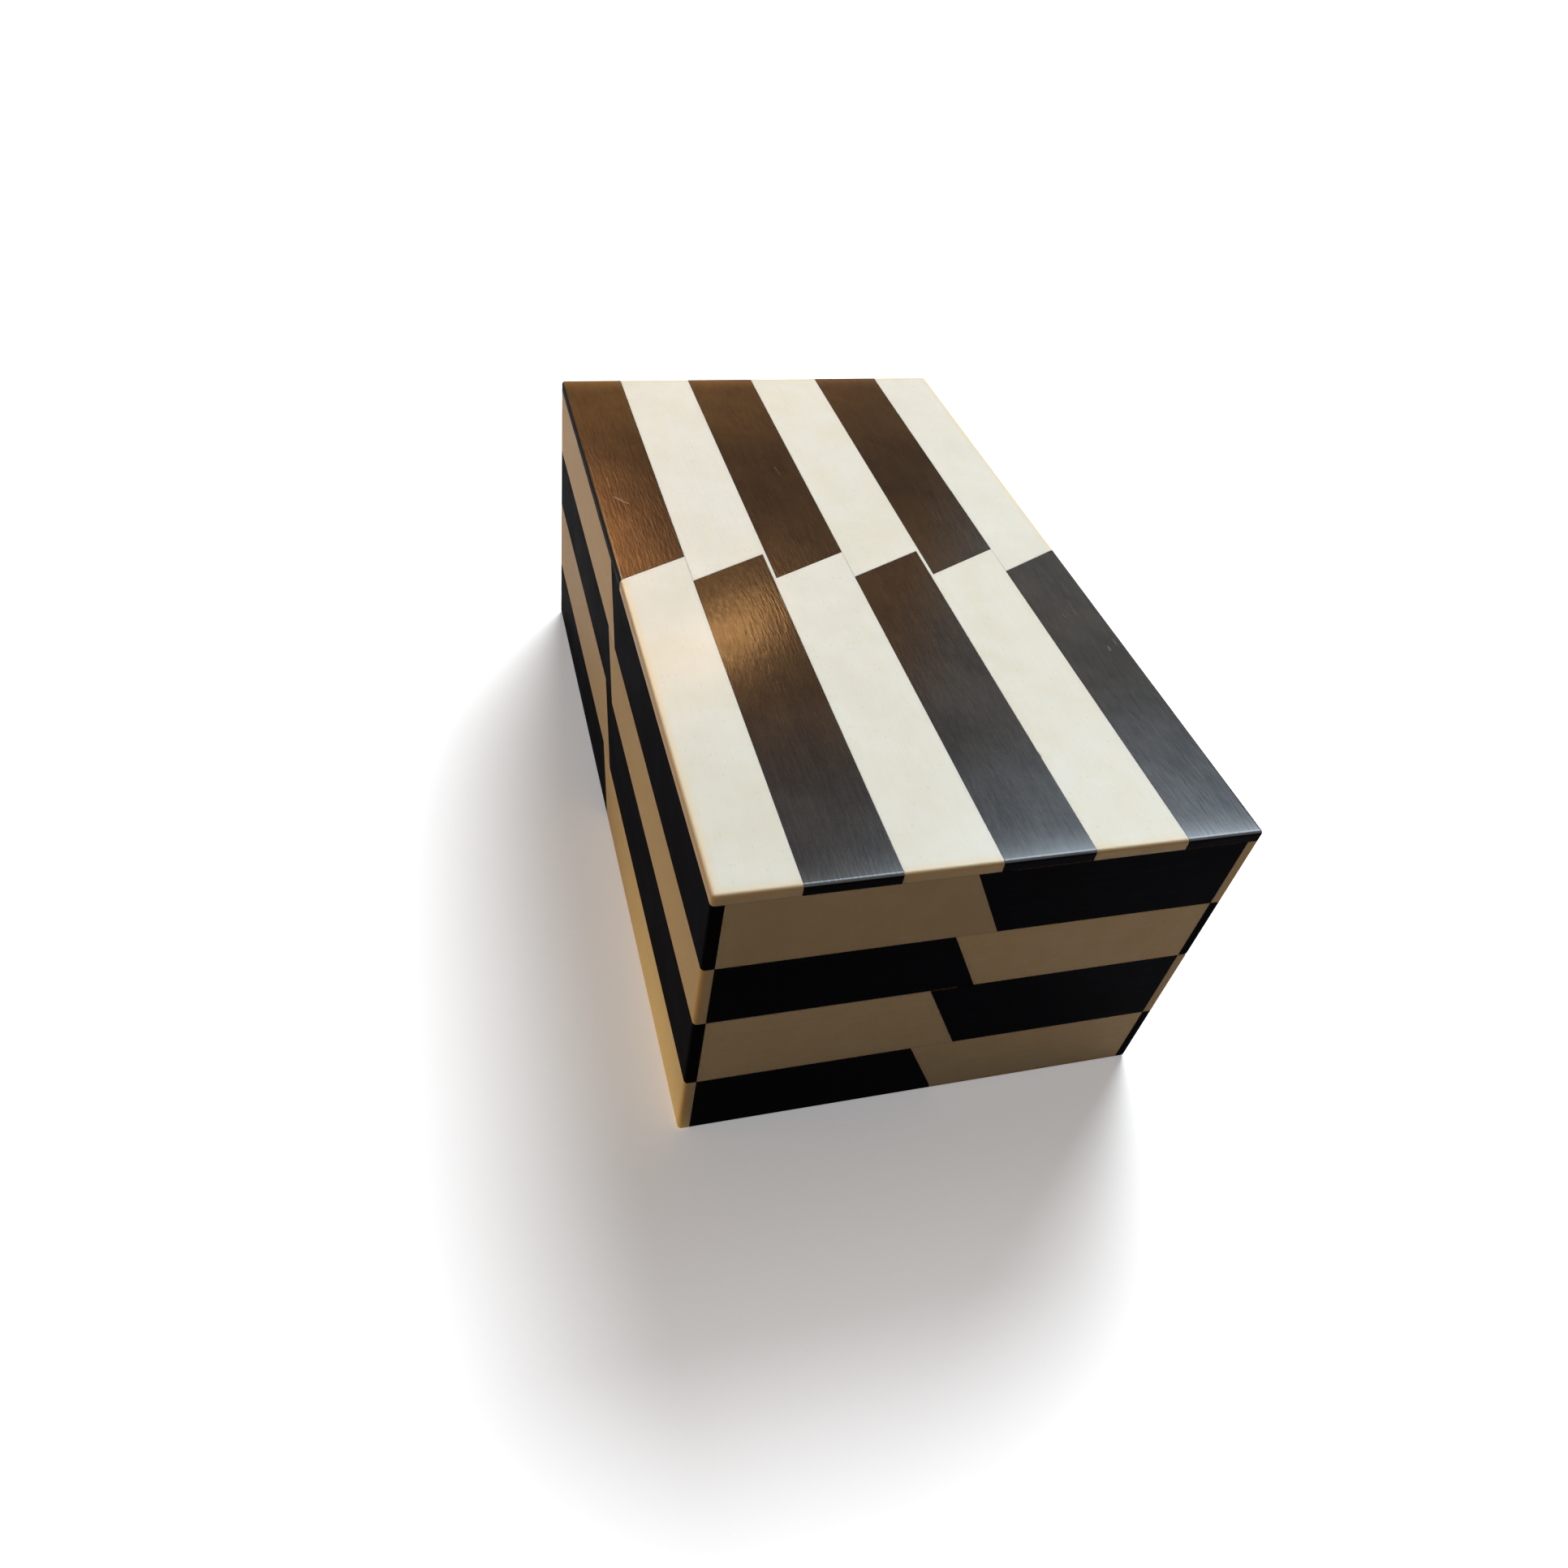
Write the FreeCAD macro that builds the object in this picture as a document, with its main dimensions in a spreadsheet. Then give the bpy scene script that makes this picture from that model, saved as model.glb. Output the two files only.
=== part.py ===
import FreeCAD, Part
import os

# Inlaid wooden box: a wooden case sawn into a base and a hinged lid, faced all over
# with white and black strips that meet in slanted joints near the middle of each face.
# Millimetres. X runs along the length, Y from the front to the hinged back, Z up.
# The origin is the middle of the underside.

DIMENSIONS = [
    ("box_length", 224.0, "length over the strips"),
    ("outer_width", 19.6, "outermost strips of the top, across the grain"),
    ("strip_width", 22.7, "middle width of the inner strips of the top, across the grain"),
    ("white_extra", 1.0, "how much wider the inner white strips are than the black ones"),
    ("row_one", 22.0, "height of the uppermost row of side strips"),
    ("row_two", 21.0, "height of the second row, the last one on the lid"),
    ("row_three", 25.3, "height of the third row, the first one on the base"),
    ("row_four", 22.7, "height of the lowest row"),
    ("inlay", 3.0, "thickness of every strip"),
    ("glue_line", 0.1, "width of the glue lines between neighbouring strips"),
    ("edge_round", 1.0, "rounding of the outer edges"),
    ("cut_angle", 26.0, "slant of the strip joints, in degrees from a square cut"),
    ("top_drift", 1.0, "step from one joint of the top to the next, along the length"),
    ("front_joint", -6.0, "place of the front's joints along the length"),
    ("wall", 8.0, "thickness of the wooden walls"),
    ("lid_board", 6.0, "thickness of the board under the top strips"),
    ("floor_board", 5.0, "thickness of the floor"),
    ("rabbet", 3.0, "depth of the rabbets that hold the lid board and the floor"),
    ("board_fit", 0.1, "clearance round a board in its rabbet"),
    ("felt", 1.0, "thickness of the felt under the floor"),
    ("lining", 1.5, "thickness of the lining felt"),
    ("lining_fit", 0.5, "clearance round the lining felt"),
    ("parting_gap", 0.2, "gap between lid and base when closed"),
    ("open_angle", 100.0, "opening of the lid, in degrees, where the back edges meet"),
    ("hinge_spacing", 130.0, "distance between the middles of the two hinges"),
    ("hinge_length", 25.0, "length of a hinge along its pin"),
    ("leaf_width", 6.0, "width of a leaf's plate"),
    ("leaf_thick", 1.1, "thickness of a leaf"),
    ("knuckle_radius", 1.8, "outside radius of the knuckles"),
    ("knuckle_gap", 0.2, "gap between neighbouring knuckles"),
    ("knuckle_room", 0.3, "clearance round the knuckles"),
    ("mortise_fit", 0.1, "clearance round a leaf in its mortise"),
    ("pin_radius", 0.9, "radius of a hinge pin"),
    ("pin_fit", 0.05, "running clearance round a pin"),
    ("pin_inset", 0.8, "distance of the pins inside the back face"),
    ("pin_head", 0.5, "thickness of a pin's peened head"),
    ("pin_head_radius", 1.4, "radius of a pin's peened head"),
    ("screw_spacing", 15.0, "distance between the two screws of a leaf"),
    ("screw_head_radius", 1.6, "radius of a screw head at its face"),
    ("screw_shank_radius", 0.8, "radius of a screw's shank"),
    ("screw_length", 9.0, "length of a screw"),
    ("screw_fit", 0.05, "clearance round a screw"),
    ("slot_width", 0.5, "width of a screw's slot"),
    ("slot_depth", 0.4, "depth of a screw's slot"),
]

# Sizes that follow from the driving ones
HALF_LENGTH = "(dims.box_length / 2)"
HALF_DEPTH = "(dims.outer_width + 2 * dims.strip_width)"
HALF_GLUE = "dims.glue_line / 2"
INNER_STRIP = {
    "white": "(dims.strip_width + dims.white_extra / 2)",
    "black": "(dims.strip_width - dims.white_extra / 2)",
}
PARTING = "(dims.row_four + dims.row_three)"
LID_LOW = f"({PARTING} + dims.parting_gap)"
ROWS_TOP = f"({PARTING} + dims.row_two + dims.row_one)"
HEIGHT = f"({ROWS_TOP} + dims.inlay)"
SLOPE = "tan(dims.cut_angle * 1 deg)"
INNER_X = f"({HALF_LENGTH} - dims.inlay - dims.wall)"
INNER_Y = f"({HALF_DEPTH} - dims.inlay - dims.wall)"
PIN_Y = f"({HALF_DEPTH} - dims.pin_inset)"
PIN_Z = f"({PARTING} + dims.parting_gap / 2)"
LEAF_OUTER = f"({PIN_Y} - dims.knuckle_radius - dims.knuckle_room)"
LEAF_INNER = f"({LEAF_OUTER} - dims.leaf_width)"
HALF_HINGE = "(dims.hinge_length / 2)"
KNUCKLE_COUNT = 3
TOOL_MARGIN = "(dims.inlay + dims.wall)"

# Faces of the box in the order in which a turn of 90 degrees about Z reaches them, with
# the distance of each from the middle, its half width and the place of its strip joints.
# The strips of the front and back cover the ends of the others.
FACES = [
    ("front", HALF_DEPTH, HALF_LENGTH, "dims.front_joint"),
    ("right", HALF_LENGTH, f"({HALF_DEPTH} - dims.inlay - dims.glue_line)", "0"),
    ("back", HALF_DEPTH, HALF_LENGTH, "0"),
    ("left", HALF_LENGTH, f"({HALF_DEPTH} - dims.inlay - dims.glue_line)", "0"),
]
ROWS = [
    ("row1", f"({ROWS_TOP} - dims.row_one + {HALF_GLUE})", f"({ROWS_TOP} - dims.glue_line)"),
    ("row2", LID_LOW, f"({ROWS_TOP} - dims.row_one - {HALF_GLUE})"),
    ("row3", f"(dims.row_four + {HALF_GLUE})", PARTING),
    ("row4", "0", f"(dims.row_four - {HALF_GLUE})"),
]

doc = FreeCAD.newDocument("inlaid_box")
sheet = doc.addObject("Spreadsheet::Sheet", "dims")
parts = {}


def fill_sheet():
    """Write every driving dimension into the sheet, under its own alias."""
    for line, (alias, value, meaning) in enumerate(DIMENSIONS, start=1):
        sheet.set(f"A{line}", meaning)
        sheet.set(f"B{line}", str(value))
        sheet.setAlias(f"B{line}", alias)
    doc.recompute()


def bind(item, **sizes):
    """Drive the named properties of a document object by expressions."""
    for name, expression in sizes.items():
        item.setExpression(name, expression)


def place(item, x="0", y="0", z="0"):
    """Drive the place of a document object by expressions."""
    item.setExpression("Placement.Base.x", x)
    item.setExpression("Placement.Base.y", y)
    item.setExpression("Placement.Base.z", z)


def keep(item, name, solids=1):
    """Name a finished sub-part and the number of separate solids that it holds."""
    item.Label = name
    parts[name] = (item, solids)
    return item


def block(name, x, y, z):
    """A box between two expressions along each axis."""
    item = doc.addObject("Part::Box", name)
    bind(item, Length=f"{x[1]} - {x[0]}", Width=f"{y[1]} - {y[0]}", Height=f"{z[1]} - {z[0]}")
    place(item, x[0], y[0], z[0])
    return item


def rod(name, radius, x, y, z):
    """A cylinder along X between two expressions."""
    item = doc.addObject("Part::Cylinder", name)
    item.Placement.Rotation = FreeCAD.Rotation(FreeCAD.Vector(0, 1, 0), 90)
    bind(item, Radius=radius, Height=f"{x[1]} - {x[0]}")
    place(item, x[0], y, z)
    return item


def fuse(name, *pieces):
    item = doc.addObject("Part::MultiFuse", name)
    item.Shapes = list(pieces)
    item.Refine = True
    return item


def cut(name, base, tool):
    item = doc.addObject("Part::Cut", name)
    item.Base = base
    item.Tool = tool
    return item


def common(name, base, tool):
    item = doc.addObject("Part::Common", name)
    item.Base = base
    item.Tool = tool
    return item


def group(name, *pieces):
    """Separate identical solids that share one node."""
    item = doc.addObject("Part::Compound", name)
    item.Links = list(pieces)
    return keep(item, name, len(pieces))


def strip(name, across, ends_low, ends_high, thickness):
    """A flat strip along X: its ends at the lower edge and at the upper edge of its width."""
    item = doc.addObject("Part::Wedge", name)
    bind(item, Ymin=across[0], Ymax=across[1])
    bind(item, Xmin=ends_low[0], Xmax=ends_low[1], X2min=ends_high[0], X2max=ends_high[1])
    bind(item, Zmin=thickness[0], Zmax=thickness[1], Z2min=thickness[0], Z2max=thickness[1])
    return item


def outer_form():
    """The whole box as one block, with the rounding that sanding gives its outer edges."""
    body = doc.addObject("PartDesign::Body", "outer_form")
    solid = body.newObject("PartDesign::AdditiveBox", "outer_block")
    bind(solid, Length="dims.box_length", Width=f"2 * {HALF_DEPTH}", Height=HEIGHT)
    place(body, f"-{HALF_LENGTH}", f"-{HALF_DEPTH}")
    doc.recompute()
    rounding = body.newObject("PartDesign::Fillet", "outer_rounding")
    rounding.Base = (solid, [f"Edge{n + 1}" for n in range(len(solid.Shape.Edges))])
    bind(rounding, Radius="dims.edge_round")
    body.Tip = rounding
    return body


def top_edges(after_middle):
    """Long edges of the top strips of one half, from the front to the back.

    The strips alternate in colour on either side of the middle line, and the white ones are
    a little wider, so that the two halves do not quite line up.
    """
    before_middle = "black" if after_middle == "white" else "white"
    return [
        f"(-{HALF_DEPTH})",
        "(-2 * dims.strip_width)",
        f"(-{INNER_STRIP[before_middle]})",
        "0",
        INNER_STRIP[after_middle],
        "(2 * dims.strip_width)",
        HALF_DEPTH,
    ]


TOP_EDGES = {"left": top_edges("white"), "right": top_edges("black")}
TOP_COUNT = 6


def joint_line(index, y):
    """X of a joint of the top where its slanted line crosses y: each joint is a step further on."""
    low, high = TOP_EDGES["left"][index:index + 2]
    place_along = f"dims.top_drift * {index - (TOP_COUNT - 1) / 2}"
    return f"({place_along} - ({y} - ({low} + {high}) / 2) * {SLOPE})"


def top_strip_edges(half, index):
    """Long edges of one strip of the top, with half a glue line left off where another follows."""
    low, high = TOP_EDGES[half][index:index + 2]
    if index > 0:
        low = f"({low} + {HALF_GLUE})"
    if index < TOP_COUNT - 1:
        high = f"({high} - {HALF_GLUE})"
    return low, high


def top_strips(form):
    """Twelve strips along the top in two halves, white against black at every joint."""
    for index in range(TOP_COUNT):
        for half in ("left", "right"):
            across = top_strip_edges(half, index)
            lines = [joint_line(index, y) for y in across]
            if half == "left":
                ends = [(f"-{HALF_LENGTH}", f"{x} - {HALF_GLUE}") for x in lines]
                colour = "black" if index % 2 == 0 else "white"
            else:
                ends = [(f"{x} + {HALF_GLUE}", HALF_LENGTH) for x in lines]
                colour = "white" if index % 2 == 0 else "black"
            name = f"top_{half}_{index + 1}_{colour}"
            blank = strip(name + "_blank", across, *ends, (ROWS_TOP, HEIGHT))
            if half == "left" and index in (1, 3):
                blank = fuse(name + "_tongued", blank, tongue(name, index))
            keep(common(name, form, blank), name)


def tongue(name, index):
    """The sliver of a white strip that fills the step between two black ones."""
    across = (f"({TOP_EDGES['right'][index + 1]} + {HALF_GLUE})",
              f"({TOP_EDGES['left'][index + 1]} - {HALF_GLUE})")
    ends = [(f"{joint_line(index, y)} - dims.inlay", f"{joint_line(index + 1, y)} - {HALF_GLUE}")
            for y in across]
    return strip(name + "_tongue", across, *ends, (ROWS_TOP, HEIGHT))


def side_strips(form, lid_relief, base_relief):
    """Four rows of strips round the box, each row of a face in a left and a right half.

    Halves are named as they are seen from outside. The back strips along the parting line are
    relieved for the hinges and for the opening lid.
    """
    for turn, (face, distance, half_width, joint) in enumerate(FACES):
        for row, (row_name, low, high) in enumerate(ROWS):
            slant = f"(({high} - {low}) * {SLOPE} / 2)"
            for half in ("left", "right"):
                colour = "white" if (row % 2 == 0) == (half == "left") else "black"
                name = f"{face}_{row_name}_{half}_{colour}"
                if half == "left":
                    ends = [(f"-{half_width}", f"{joint} {lean} {slant} - {HALF_GLUE}") for lean in "+-"]
                else:
                    ends = [(f"{joint} {lean} {slant} + {HALF_GLUE}", half_width) for lean in "+-"]
                blank = strip(name + "_blank", (low, high), *ends, ("-dims.inlay", "0"))
                blank.Placement.Rotation = FreeCAD.Rotation(90 * turn, 0, 90)
                offsets = [("0", f"-{distance}"), (distance, "0"), ("0", distance), (f"-{distance}", "0")]
                place(blank, *offsets[turn])
                piece = common(name, form, blank)
                if face == "back" and row_name in ("row2", "row3"):
                    relief = lid_relief if row_name == "row2" else base_relief
                    piece = cut(name + "_relieved", piece, relief)
                keep(piece, name)


def case(prefix, low, high, recess, relief):
    """Four wooden walls round the inside, rabbeted for a board, the back one let in for hinges."""
    outer_x = f"({HALF_LENGTH} - dims.inlay)"
    outer_y = f"({HALF_DEPTH} - dims.inlay)"
    length = (f"-{outer_x}", outer_x)
    height = (low, high)
    front = block(prefix + "_front_blank", length, (f"-{outer_y}", f"-{INNER_Y}"), height)
    keep(cut(prefix + "_front_wall", front, recess), prefix + "_front_wall")
    back = block(prefix + "_back_blank", length, (INNER_Y, outer_y), height)
    rabbeted = cut(prefix + "_back_rabbeted", back, recess)
    keep(cut(prefix + "_back_wall", rabbeted, relief), prefix + "_back_wall")
    ends = []
    for side, span in (("left", (f"-{outer_x}", f"-{INNER_X}")), ("right", (INNER_X, outer_x))):
        end = block(f"{prefix}_{side}_blank", span, (f"-{INNER_Y}", INNER_Y), height)
        ends.append(cut(f"{prefix}_{side}_wall", end, recess))
    group(prefix + "_end_walls", *ends)


def sheet_piece(name, margin, z):
    """A flat piece that fills the inside, larger by a margin on each side."""
    reach_x = f"({INNER_X} + {margin})"
    reach_y = f"({INNER_Y} + {margin})"
    return block(name, (f"-{reach_x}", reach_x), (f"-{reach_y}", reach_y), z)


def boards_and_felt():
    """The lid's board and the floor in their rabbets, the linings and the felt below."""
    seated = "dims.rabbet - dims.board_fit"
    lined = "-dims.lining_fit"
    board_low = f"({ROWS_TOP} - dims.lid_board)"
    floor_high = "(dims.felt + dims.floor_board)"
    flat_pieces = [
        ("lid_top_board", seated, (board_low, ROWS_TOP)),
        ("base_floor_board", seated, ("dims.felt", floor_high)),
        ("underside_felt", seated, ("0", "dims.felt")),
        ("base_lining", lined, (floor_high, f"({floor_high} + dims.lining)")),
        ("lid_lining", lined, (f"({board_low} - dims.lining)", board_low)),
    ]
    for name, margin, z in flat_pieces:
        keep(sheet_piece(name, margin, z), name)
    lid_recess = sheet_piece("lid_recess", "dims.rabbet", (board_low, ROWS_TOP))
    base_recess = sheet_piece("base_recess", "dims.rabbet", ("0", floor_high))
    return lid_recess, base_recess


def hinge_middle(side):
    return f"({side} * dims.hinge_spacing / 2)"


def knuckle_span(side, index):
    """Ends along X of one knuckle, with half a gap left off where it meets the next one."""
    pitch = f"(dims.hinge_length / {KNUCKLE_COUNT})"
    start = f"({hinge_middle(side)} - {HALF_HINGE})"
    first_gap = "0" if index == 0 else "dims.knuckle_gap / 2"
    last_gap = "0" if index == KNUCKLE_COUNT - 1 else "dims.knuckle_gap / 2"
    return (f"({start} + {index} * {pitch} + {first_gap})",
            f"({start} + {index + 1} * {pitch} - {last_gap})")


def leaf_span(prefix):
    """Lowest and highest face of a leaf: each leaf lies flush in its own half of the box."""
    if prefix == "lid":
        return (LID_LOW, f"({LID_LOW} + dims.leaf_thick)")
    return (f"({PARTING} - dims.leaf_thick)", PARTING)


def relief(prefix):
    """What is taken from the back for the hinges and for the lid's opening.

    Each hinge needs a mortise for its leaf and a round channel for its knuckles. The back edges
    are bevelled away from the pin line by half the opening angle, so that they meet when open.
    """
    thick = leaf_span(prefix)
    pieces = []
    for side_name, side in (("left", -1), ("right", 1)):
        half = f"({HALF_HINGE} + dims.mortise_fit)"
        span = (f"({hinge_middle(side)} - {half})", f"({hinge_middle(side)} + {half})")
        across = (f"({LEAF_INNER} - dims.mortise_fit)", PIN_Y)
        if prefix == "lid":
            depth = (PIN_Z, thick[1])
        else:
            depth = (thick[0], PIN_Z)
        pieces.append(block(f"{prefix}_mortise_{side_name}", span, across, depth))
        half = f"({HALF_HINGE} + dims.pin_head + dims.knuckle_room)"
        span = (f"({hinge_middle(side)} - {half})", f"({hinge_middle(side)} + {half})")
        radius = "dims.knuckle_radius + dims.knuckle_room"
        pieces.append(rod(f"{prefix}_channel_{side_name}", radius, span, PIN_Y, PIN_Z))
        pieces += screw_holes(prefix, side_name, side)
    bevel = doc.addObject("Part::Box", prefix + "_bevel")
    bind(bevel, Length="2 * dims.box_length", Width=TOOL_MARGIN, Height=TOOL_MARGIN)
    bevel.Placement.Rotation = FreeCAD.Rotation(FreeCAD.Vector(1, 0, 0), 1)
    if prefix == "lid":
        lean = "dims.open_angle / 2 - 90"
        edge_height = LID_LOW
    else:
        lean = "-dims.open_angle / 2"
        edge_height = PARTING
    bevel.setExpression("Placement.Rotation.Angle", lean)
    place(bevel, "-dims.box_length", PIN_Y, edge_height)
    return fuse(prefix + "_relief", bevel, *pieces)


def screw_places(side):
    """X of the two screws of one leaf."""
    return [f"({hinge_middle(side)} + {end} * dims.screw_spacing / 2)" for end in (-1, 1)]


def screw_solid(name, prefix, x, room):
    """Shank and countersunk head of a screw, grown all round by a clearance."""
    y = f"(({LEAF_INNER} + {LEAF_OUTER}) / 2)"
    up = prefix == "lid"
    face = LID_LOW if up else PARTING
    turn = FreeCAD.Rotation(FreeCAD.Vector(1, 0, 0), 0 if up else 180)
    shank = doc.addObject("Part::Cylinder", name + "_shank")
    shank.Placement.Rotation = turn
    bind(shank, Radius=f"dims.screw_shank_radius + {room}", Height=f"dims.screw_length + {room}")
    head = doc.addObject("Part::Cone", name + "_head")
    head.Placement.Rotation = turn
    bind(head, Radius1=f"dims.screw_head_radius + {room}", Radius2=f"dims.screw_shank_radius + {room}",
         Height="dims.screw_head_radius - dims.screw_shank_radius")
    place(shank, x, y, face)
    place(head, x, y, face)
    return fuse(name, shank, head)


def screw_holes(prefix, side_name, side):
    return [screw_solid(f"{prefix}_hole_{side_name}_{n}", prefix, x, "dims.screw_fit")
            for n, x in enumerate(screw_places(side), start=1)]


def screws(prefix):
    """Four slotted countersunk screws that hold the two leaves of the lid or of the base."""
    made = []
    y = f"(({LEAF_INNER} + {LEAF_OUTER}) / 2)"
    for side_name, side in (("left", -1), ("right", 1)):
        for n, x in enumerate(screw_places(side), start=1):
            name = f"{prefix}_screw_{side_name}_{n}"
            plain = screw_solid(name + "_plain", prefix, x, "0")
            if prefix == "lid":
                depth = (LID_LOW, f"({LID_LOW} + dims.slot_depth)")
            else:
                depth = (f"({PARTING} - dims.slot_depth)", PARTING)
            width = (f"({y} - dims.slot_width / 2)", f"({y} + dims.slot_width / 2)")
            reach = (f"({x} - 2 * dims.screw_head_radius)", f"({x} + 2 * dims.screw_head_radius)")
            made.append(cut(name, plain, block(name + "_slot", reach, width, depth)))
    group(prefix + "_hinge_screws", *made)


def leaves(prefix, first_knuckle):
    """Two leaves: a plate, with every second knuckle of the hinge rolled on its edge."""
    thick = leaf_span(prefix)
    made = []
    for side_name, side in (("left", -1), ("right", 1)):
        name = f"{prefix}_leaf_{side_name}"
        span = (f"({hinge_middle(side)} - {HALF_HINGE})", f"({hinge_middle(side)} + {HALF_HINGE})")
        solids = [block(name + "_plate", span, (LEAF_INNER, LEAF_OUTER), thick)]
        for index in range(first_knuckle, KNUCKLE_COUNT, 2):
            ends = knuckle_span(side, index)
            solids.append(rod(f"{name}_knuckle_{index}", "dims.knuckle_radius", ends, PIN_Y, PIN_Z))
            solids.append(block(f"{name}_neck_{index}", ends, (LEAF_OUTER, PIN_Y), thick))
        bore = rod(name + "_bore", "dims.pin_radius + dims.pin_fit", span, PIN_Y, PIN_Z)
        holes = fuse(name + "_holes", bore, *[screw_solid(f"{name}_sink_{n}", prefix, x, "dims.screw_fit")
                                              for n, x in enumerate(screw_places(side), start=1)])
        made.append(cut(name, fuse(name + "_solid", *solids), holes))
    group(prefix + "_hinge_leaves", *made)


def pins():
    """Two hinge pins, peened over the outer knuckles at both ends."""
    made = []
    for side_name, side in (("left", -1), ("right", 1)):
        low = f"({hinge_middle(side)} - {HALF_HINGE})"
        high = f"({hinge_middle(side)} + {HALF_HINGE})"
        name = f"pin_{side_name}"
        shaft = rod(name + "_shaft", "dims.pin_radius", (low, high), PIN_Y, PIN_Z)
        head_spans = {"low": (f"({low} - dims.pin_head)", low), "high": (high, f"({high} + dims.pin_head)")}
        heads = [rod(f"{name}_head_{end}", "dims.pin_head_radius", span, PIN_Y, PIN_Z)
                 for end, span in head_spans.items()]
        made.append(fuse(name, shaft, *heads))
    group("hinge_pins", *made)


def build():
    """Make every sub-part in the document."""
    fill_sheet()
    form = outer_form()
    lid_relief = relief("lid")
    base_relief = relief("base")
    top_strips(form)
    side_strips(form, lid_relief, base_relief)
    lid_recess, base_recess = boards_and_felt()
    case("lid", LID_LOW, ROWS_TOP, lid_recess, lid_relief)
    case("base", "0", PARTING, base_recess, base_relief)
    leaves("base", 0)
    leaves("lid", 1)
    pins()
    screws("lid")
    screws("base")
    doc.recompute()


def check_and_write():
    """Stop on any failed object or wrong solid, then write one file for each sub-part."""
    for item in doc.Objects:
        if "Invalid" in item.State or "Error" in item.State:
            raise RuntimeError(f"{item.Label} failed: {item.State}")
    for name, (item, solids) in parts.items():
        shape = item.Shape
        if shape.isNull() or not shape.isValid() or len(shape.Solids) != solids:
            raise RuntimeError(f"{name} is not {solids} sound solids")
    os.makedirs("parts", exist_ok=True)
    for name, (item, solids) in parts.items():
        item.Shape.exportStep(f"parts/{name}.step")
    print(len(parts), "sub-parts written")


build()
check_and_write()
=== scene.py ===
import math

import bpy
import numpy as np
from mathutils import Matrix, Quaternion, Vector


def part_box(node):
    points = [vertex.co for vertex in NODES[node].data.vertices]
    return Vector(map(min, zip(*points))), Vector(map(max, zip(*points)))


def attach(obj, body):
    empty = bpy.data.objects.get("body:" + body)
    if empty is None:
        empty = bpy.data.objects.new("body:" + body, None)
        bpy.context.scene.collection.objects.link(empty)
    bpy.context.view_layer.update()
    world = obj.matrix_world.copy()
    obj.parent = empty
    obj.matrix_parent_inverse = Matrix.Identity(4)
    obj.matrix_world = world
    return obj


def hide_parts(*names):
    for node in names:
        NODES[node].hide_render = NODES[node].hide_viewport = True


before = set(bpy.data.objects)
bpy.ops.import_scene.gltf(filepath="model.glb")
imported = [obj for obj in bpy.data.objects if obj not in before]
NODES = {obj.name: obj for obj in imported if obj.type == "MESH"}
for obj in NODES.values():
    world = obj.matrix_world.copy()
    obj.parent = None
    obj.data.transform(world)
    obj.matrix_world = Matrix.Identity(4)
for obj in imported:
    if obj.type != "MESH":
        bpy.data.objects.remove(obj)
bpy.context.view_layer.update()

# The looks of the inlaid box: bone and horn strips, the wooden case, brass hinges and felt.
# Metres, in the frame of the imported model: X along the length, Y to the hinged back, Z up.

MM = 0.001
STRIP_STARTS = ("top_", "front_", "right_", "back_", "left_")
ALL_STRIPS = sorted(n for n in NODES if n.startswith(STRIP_STARTS))
STRIP_BOXES = [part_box(n) for n in ALL_STRIPS]
OUTER_LOW = np.min([np.array(low) for low, _ in STRIP_BOXES], axis=0)
OUTER_HIGH = np.max([np.array(high) for _, high in STRIP_BOXES], axis=0)
END, SIDE, TOP = (float(value) for value in OUTER_HIGH)
LOW, HIGH = 0, 1


def row_edge(start, side):
    """Height of the lower or upper edge of the strips whose names have this start."""
    return next(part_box(n)[side][2] for n in ALL_STRIPS if n.startswith(start))


PLATE_LOW = row_edge("top_", LOW)
PARTING = (row_edge("front_row2", LOW) + row_edge("front_row3", HIGH)) / 2

BLACK = (0.0, 0.0, 0.0)
WHITE = (1.0, 1.0, 1.0)


# Node trees

def set_input(tree, socket, value):
    """Links an input to another node, or sets it. Colours come without their alpha."""
    if isinstance(value, bpy.types.NodeSocket):
        tree.links.new(value, socket)
    elif socket.type == "RGBA":
        socket.default_value = (*value, 1.0)
    else:
        socket.default_value = value


def add(tree, kind, values=None, **settings):
    """A node with its own settings, and a value or a link for each input, by name or number."""
    made = tree.nodes.new(kind)
    for name, value in settings.items():
        setattr(made, name, value)
    for key, value in (values or {}).items():
        set_input(tree, made.inputs[key], value)
    return made


def feed(tree, node, **values):
    """Links or sets inputs of a node, named with underscores for spaces."""
    for key, value in values.items():
        set_input(tree, node.inputs[key.replace("_", " ")], value)


def maths(tree, operation, *values):
    """A number worked out from other numbers."""
    return add(tree, "ShaderNodeMath", dict(enumerate(values)), operation=operation).outputs[0]


def times(tree, first, second):
    """The product of two numbers."""
    return maths(tree, "MULTIPLY", first, second)


def times_plus(tree, value, factor, rest):
    """A number times a factor, and the rest added."""
    return maths(tree, "MULTIPLY_ADD", value, factor, rest)


def ranging(tree, mask, low, high):
    """A number that goes from low to high with a mask."""
    return times_plus(tree, mask, high - low, low)


def vector_maths(tree, operation, *values):
    """A vector worked out from other vectors."""
    return add(tree, "ShaderNodeVectorMath", dict(enumerate(values)), operation=operation).outputs[0]


def vector_number(tree, operation, *values):
    """A number worked out from vectors, such as a length."""
    made = add(tree, "ShaderNodeVectorMath", dict(enumerate(values)), operation=operation)
    return made.outputs["Value"]


def parts(tree, vector):
    """The X, Y and Z of a vector."""
    return add(tree, "ShaderNodeSeparateXYZ", {0: vector}).outputs[:3]


def mixed(tree, factor, first, second):
    """A colour between two others."""
    made = add(tree, "ShaderNodeMix", {0: factor, 6: first, 7: second}, data_type="RGBA")
    return made.outputs[2]


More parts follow.
